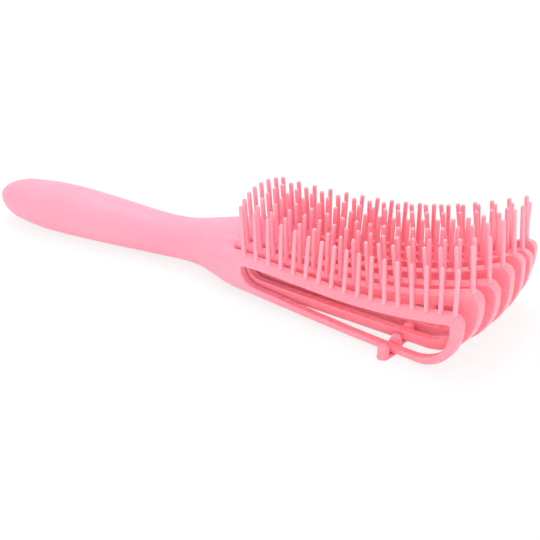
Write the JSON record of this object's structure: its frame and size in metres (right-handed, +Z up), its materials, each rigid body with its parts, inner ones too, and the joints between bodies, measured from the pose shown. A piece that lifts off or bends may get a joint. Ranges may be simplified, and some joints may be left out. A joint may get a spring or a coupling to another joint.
{
  "type": "detangling hairbrush",
  "caption": "Detangling hairbrush with a slim rounded handle and a fan of looped flexible ribs that carry rows of straight pins, tied together underneath by a cross strap.",
  "frame": {"origin": "centre of the bounding box on the plane that the brush lies on, pins up", "axes": "+X from the handle's round end to the noses of the ribs, +Z up along the pins, +Y across"},
  "size_m": [0.24, 0.0744, 0.0526],
  "materials": {
    "handle": "satin",
    "rib": "satin",
    "pin": "satin",
    "strap": "satin"
  },
  "bodies": {
    "handle": {"handle_top_shell": "handle", "handle_bottom_shell": "handle"},
    "strap": {"tie_strap": "strap"},
    "rib_body_1": {"rib_1": "rib", "pin_row_1": "pin"},
    "rib_body_2": {"rib_2": "rib", "pin_row_2": "pin"},
    "rib_body_3": {"rib_3": "rib", "pin_row_3": "pin"},
    "rib_body_4": {"rib_4": "rib", "pin_row_4": "pin"},
    "rib_body_5": {"rib_5": "rib", "pin_row_5": "pin"},
    "rib_body_6": {"rib_6": "rib", "pin_row_6": "pin"},
    "rib_body_7": {"rib_7": "rib", "pin_row_7": "pin"},
    "rib_body_8": {"rib_8": "rib", "pin_row_8": "pin"}
  },
  "joints": [
    {"name": "rib_1_sway", "type": "hinge", "parent": "handle", "child": "rib_body_1", "pos_m": [0.00178, -0.01295, 0.0108], "axis": [0, 0, 1], "range_deg": [-2, 2], "stiffness_Nm_per_rad": 2},
    {"name": "rib_2_sway", "type": "hinge", "parent": "handle", "child": "rib_body_2", "pos_m": [0.00178, -0.00925, 0.0108], "axis": [0, 0, 1], "range_deg": [-2.02, 2.02]},
    {"name": "rib_3_sway", "type": "hinge", "parent": "handle", "child": "rib_body_3", "pos_m": [0.00178, -0.00555, 0.0108], "axis": [0, 0, 1], "range_deg": [-2.02, 2.02]},
    {"name": "rib_4_sway", "type": "hinge", "parent": "handle", "child": "rib_body_4", "pos_m": [0.00178, -0.00185, 0.0108], "axis": [0, 0, 1], "range_deg": [-2.02, 2.02]},
    {"name": "rib_5_sway", "type": "hinge", "parent": "handle", "child": "rib_body_5", "pos_m": [0.00178, 0.00185, 0.0108], "axis": [0, 0, 1], "range_deg": [-2.02, 2.02]},
    {"name": "rib_6_sway", "type": "hinge", "parent": "handle", "child": "rib_body_6", "pos_m": [0.00178, 0.00555, 0.0108], "axis": [0, 0, 1], "range_deg": [-2.02, 2.02]},
    {"name": "rib_7_sway", "type": "hinge", "parent": "handle", "child": "rib_body_7", "pos_m": [0.00178, 0.00925, 0.0108], "axis": [0, 0, 1], "range_deg": [-2.02, 2.02]},
    {"name": "rib_8_sway", "type": "hinge", "parent": "handle", "child": "rib_body_8", "pos_m": [0.00178, 0.01295, 0.0108], "axis": [0, 0, 1], "range_deg": [-2.02, 2.02]},
    {"name": "strap_shift", "type": "slide", "parent": "handle", "child": "strap", "axis": [0, 1, 0], "range_m": [-0.003, 0.003]}
  ],
  "couplings": [
    {"joint": "rib_2_sway", "follows": "rib_1_sway", "ratio": 1},
    {"joint": "rib_3_sway", "follows": "rib_1_sway", "ratio": 1},
    {"joint": "rib_4_sway", "follows": "rib_1_sway", "ratio": 1},
    {"joint": "rib_5_sway", "follows": "rib_1_sway", "ratio": 1},
    {"joint": "rib_6_sway", "follows": "rib_1_sway", "ratio": 1},
    {"joint": "rib_7_sway", "follows": "rib_1_sway", "ratio": 1},
    {"joint": "rib_8_sway", "follows": "rib_1_sway", "ratio": 1},
    {"joint": "strap_shift", "follows": "rib_1_sway", "m_per_rad": 0.0841}
  ]
}
